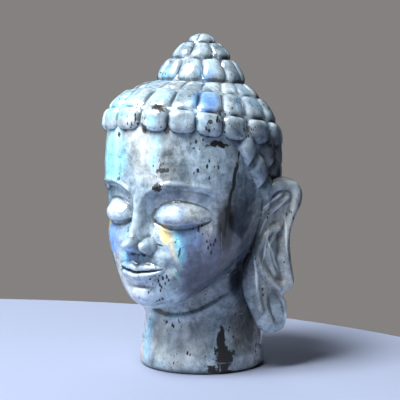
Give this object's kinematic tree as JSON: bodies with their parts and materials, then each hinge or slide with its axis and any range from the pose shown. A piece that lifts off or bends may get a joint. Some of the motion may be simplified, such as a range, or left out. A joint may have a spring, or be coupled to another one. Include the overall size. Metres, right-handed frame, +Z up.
{
  "type": "stone buddha head",
  "caption": "Polished labradorite carving of a Buddha's head with snail-curl hair, a tiered topknot and long flared ears, standing on its flat-cut neck",
  "frame": {"origin": "centre of the flat underside of the neck", "axes": "+Z up through the topknot, -Y the way the face looks, +X the side of the figure's left ear"},
  "size_m": [0.0618, 0.0602, 0.1],
  "materials": {
    "labradorite": "polished"
  },
  "bodies": {
    "root": {"buddha_head": "labradorite"}
  },
  "joints": []
}
